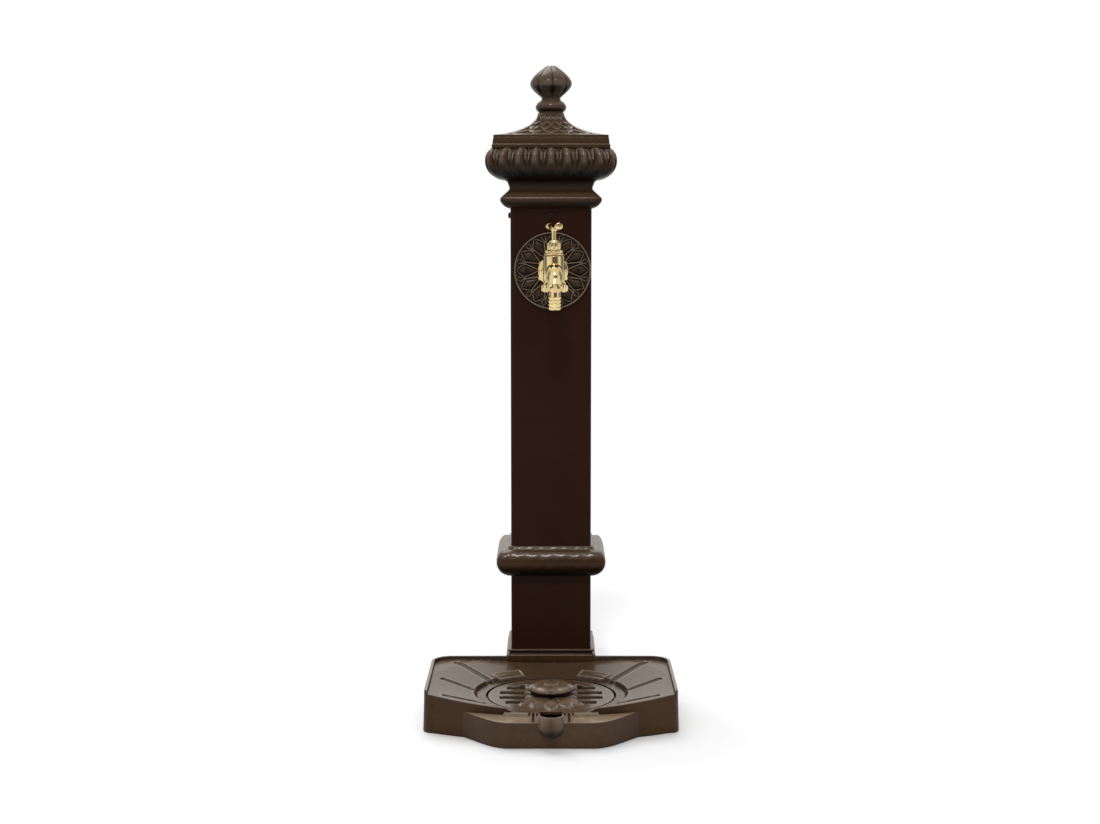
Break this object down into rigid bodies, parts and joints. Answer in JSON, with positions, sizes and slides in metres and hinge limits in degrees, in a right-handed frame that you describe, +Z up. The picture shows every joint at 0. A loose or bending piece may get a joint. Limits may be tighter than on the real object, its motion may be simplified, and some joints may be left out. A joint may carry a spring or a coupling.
{
  "type": "garden standpipe",
  "caption": "Garden standpipe: square column on a cast drain base, with mouldings, lobed capital and finial, and a brass screw-down tap with a hose union.",
  "frame": {"origin": "middle of the footprint of the whole object, on the ground", "axes": "+X to the right of someone facing the tap, +Y away from them towards the column's back, +Z up"},
  "size_m": [0.361, 0.4606, 0.944],
  "materials": {
    "cast_brown": "dark brown satin enamel on a rough sand casting",
    "tube_brown": "dark brown satin enamel on drawn tube",
    "dark_screw": "dark oxidised screws",
    "zinc_steel": "zinc plated steel",
    "brass": "polished brass",
    "fibre": "red-brown vulcanised fibre",
    "rubber": "black rubber"
  },
  "bodies": {
    "standpipe": {"base_casting": "cast_brown", "plinth_collar": "cast_brown", "column_tube": "tube_brown", "foot_plate": "zinc_steel", "base_bolts": "zinc_steel", "mid_collar": "cast_brown", "collar_grub_screw": "dark_screw", "capital": "cast_brown", "cap_roof": "cast_brown", "cap_frame": "zinc_steel", "cap_screws": "dark_screw", "finial": "cast_brown", "finial_stud": "zinc_steel", "finial_nut": "zinc_steel", "rosette": "cast_brown", "rosette_screws": "dark_screw", "tap_body": "brass", "tap_washer": "fibre", "tap_backnut": "brass", "tap_elbow": "brass", "riser_pipe": "zinc_steel", "pipe_guides": "zinc_steel", "inlet_coupling": "brass", "bonnet": "brass", "bonnet_washer": "fibre", "gland_packing": "rubber", "gland_nut": "brass", "drain_pot": "cast_brown", "column_foot": "cast_brown", "tie_bolts": "zinc_steel", "tie_nuts": "zinc_steel"},
    "jumper": {"jumper_valve": "brass", "jumper_washer": "rubber", "jumper_nut": "brass"},
    "spindle": {"spindle": "brass", "tee_bar": "brass"},
    "tail": {"hose_tail": "brass", "tail_washer": "rubber"},
    "union_nut": {"union_nut": "brass"},
    "grate": {"drain_grate": "cast_brown"}
  },
  "joints": [
    {"name": "jumper_lift", "type": "slide", "parent": "standpipe", "child": "jumper", "axis": [0, 0, 1], "range_m": [0, 0.00755]},
    {"name": "spindle_turn", "type": "hinge", "parent": "jumper", "child": "spindle", "pos_m": [0.00403, 0.02833, 0.707], "axis": [0, 0, 1], "range_deg": [0, 1080]},
    {"name": "tail_drop", "type": "slide", "parent": "standpipe", "child": "tail", "axis": [0, 0, -1], "range_m": [0, 0.0069]},
    {"name": "nut_turn", "type": "hinge", "parent": "tail", "child": "union_nut", "pos_m": [0.0053, -0.00465, 0.618], "axis": [0, 0, -1], "range_deg": [0, 1350]},
    {"name": "grate_lift", "type": "slide", "parent": "standpipe", "child": "grate", "axis": [0, 0, 1], "range_m": [0, 0.1]}
  ],
  "couplings": [
    {"joint": "jumper_lift", "follows": "spindle_turn", "m_per_rad": 0.00039789},
    {"joint": "tail_drop", "follows": "nut_turn", "m_per_rad": 0.00028871}
  ]
}
